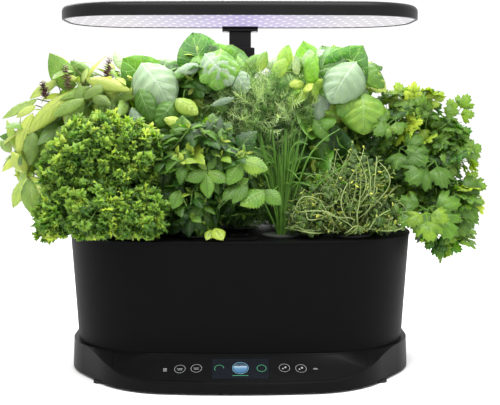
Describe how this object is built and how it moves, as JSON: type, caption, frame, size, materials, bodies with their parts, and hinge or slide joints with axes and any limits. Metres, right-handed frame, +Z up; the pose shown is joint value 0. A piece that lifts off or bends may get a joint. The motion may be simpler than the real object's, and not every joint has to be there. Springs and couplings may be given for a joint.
{
  "type": "countertop hydroponic garden",
  "caption": "Countertop herb garden with a sloped touch-panel base, a lift-out water bowl with planted pods and a full-spectrum grow light on a telescoping mast.",
  "frame": {"origin": "on the table under the middle of the base", "axes": "+X to the right seen from the front, +Y to the back, +Z up"},
  "size_m": [0.6, 0.287, 0.447],
  "materials": {
    "black_shell": "fine satin moulded plastic",
    "black_panel": "satin touch surface",
    "display_window": "dark glossy window",
    "circuit_board": "solder mask",
    "rubber_feet": "matt",
    "steel_screws": "plain",
    "contact_block": "satin",
    "inner_plastic": "moulded",
    "filter_foam": "open foam",
    "pod_basket": "moulded",
    "pod_sponge": "fibrous growing sponge",
    "pod_label": "plain card-like disc",
    "mast_tube": "black anodised",
    "lead_jacket": "curly lead",
    "light_lens": "clear-to-frosted diffuser",
    "light_board": "white coated",
    "light_emitter": "lit",
    "thai_basil_leaf": "leafy herb",
    "genovese_leaf": "leafy herb",
    "dill_leaf": "feathery herb",
    "flat_parsley_leaf": "leafy herb",
    "curly_parsley_leaf": "leafy herb",
    "mint_leaf": "leafy herb",
    "chive_leaf": "grassy herb",
    "thyme_leaf": "wiry herb"
  },
  "bodies": {
    "root": {"base_bottom_plate": "black_shell", "base_feet": "rubber_feet", "base_screws": "steel_screws", "base_shell": "black_shell", "bowl_floor": "black_shell", "chives_plant": "chive_leaf", "control_board": "circuit_board", "control_panel": "black_panel", "curly_parsley_plant": "curly_parsley_leaf", "dill_plant": "dill_leaf", "display_module": "circuit_board", "display_window": "display_window", "float_guide": "inner_plastic", "genovese_basil_left_plant": "genovese_leaf", "genovese_basil_right_plant": "genovese_leaf", "grow_basket_1": "pod_basket", "grow_basket_2": "pod_basket", "grow_basket_3": "pod_basket", "grow_basket_4": "pod_basket", "grow_basket_5": "pod_basket", "grow_basket_6": "pod_basket", "grow_basket_7": "pod_basket", "grow_basket_8": "pod_basket", "grow_basket_9": "pod_basket", "grow_bowl": "black_shell", "grow_deck": "black_shell", "grow_sponges": "pod_sponge", "italian_parsley_plant": "flat_parsley_leaf", "lid_hinge_pin": "steel_screws", "light_lead": "lead_jacket", "mast_lower_collar": "black_shell", "mast_lower_tube": "mast_tube", "mint_plant": "mint_leaf", "pod_labels": "pod_label", "power_inlet": "black_shell", "pump_contact": "contact_block", "pump_cover": "inner_plastic", "pump_filter": "filter_foam", "pump_housing": "inner_plastic", "pump_riser": "inner_plastic", "thai_basil_plant": "thai_basil_leaf", "thyme_plant": "thyme_leaf"},
    "mast_middle": {"mast_middle_tube": "mast_tube", "mast_middle_collar": "black_shell", "middle_glide": "inner_plastic"},
    "light_head": {"mast_upper_tube": "mast_tube", "upper_glide": "inner_plastic", "hood_shell": "black_shell", "hood_clamp": "black_shell", "light_lens": "light_lens", "led_board": "light_board", "led_emitters": "light_emitter", "hood_screws": "steel_screws"},
    "lower_button": {"lower_release_button": "black_shell"},
    "upper_button": {"upper_release_button": "black_shell"},
    "port_lid": {"fill_port_lid": "black_shell"},
    "level_float": {"water_float": "inner_plastic"},
    "impeller": {"pump_impeller": "inner_plastic"}
  },
  "joints": [
    {"name": "mast_middle_slide", "type": "slide", "parent": "root", "child": "mast_middle", "axis": [0, 0, 1], "range_m": [0, 0.172]},
    {"name": "mast_upper_slide", "type": "slide", "parent": "mast_middle", "child": "light_head", "axis": [0, 0, 1], "range_m": [0, 0.172]},
    {"name": "lower_release", "type": "slide", "parent": "root", "child": "lower_button", "axis": [0, -1, 0], "range_m": [0, 0.0025], "stiffness_N_per_m": 600},
    {"name": "upper_release", "type": "slide", "parent": "mast_middle", "child": "upper_button", "axis": [0, -1, 0], "range_m": [0, 0.0025], "stiffness_N_per_m": 600},
    {"name": "port_lid_hinge", "type": "hinge", "parent": "root", "child": "port_lid", "pos_m": [0, -0.0633, 0.1736], "axis": [-1, 0, 0], "range_deg": [0, 95]},
    {"name": "float_rise", "type": "slide", "parent": "root", "child": "level_float", "axis": [0, 0, 1], "range_m": [0, 0.049]},
    {"name": "impeller_spin", "type": "hinge", "parent": "root", "child": "impeller", "pos_m": [-0.145, 0.0275, 0.0746], "axis": [0, 0, 1], "continuous": true}
  ]
}
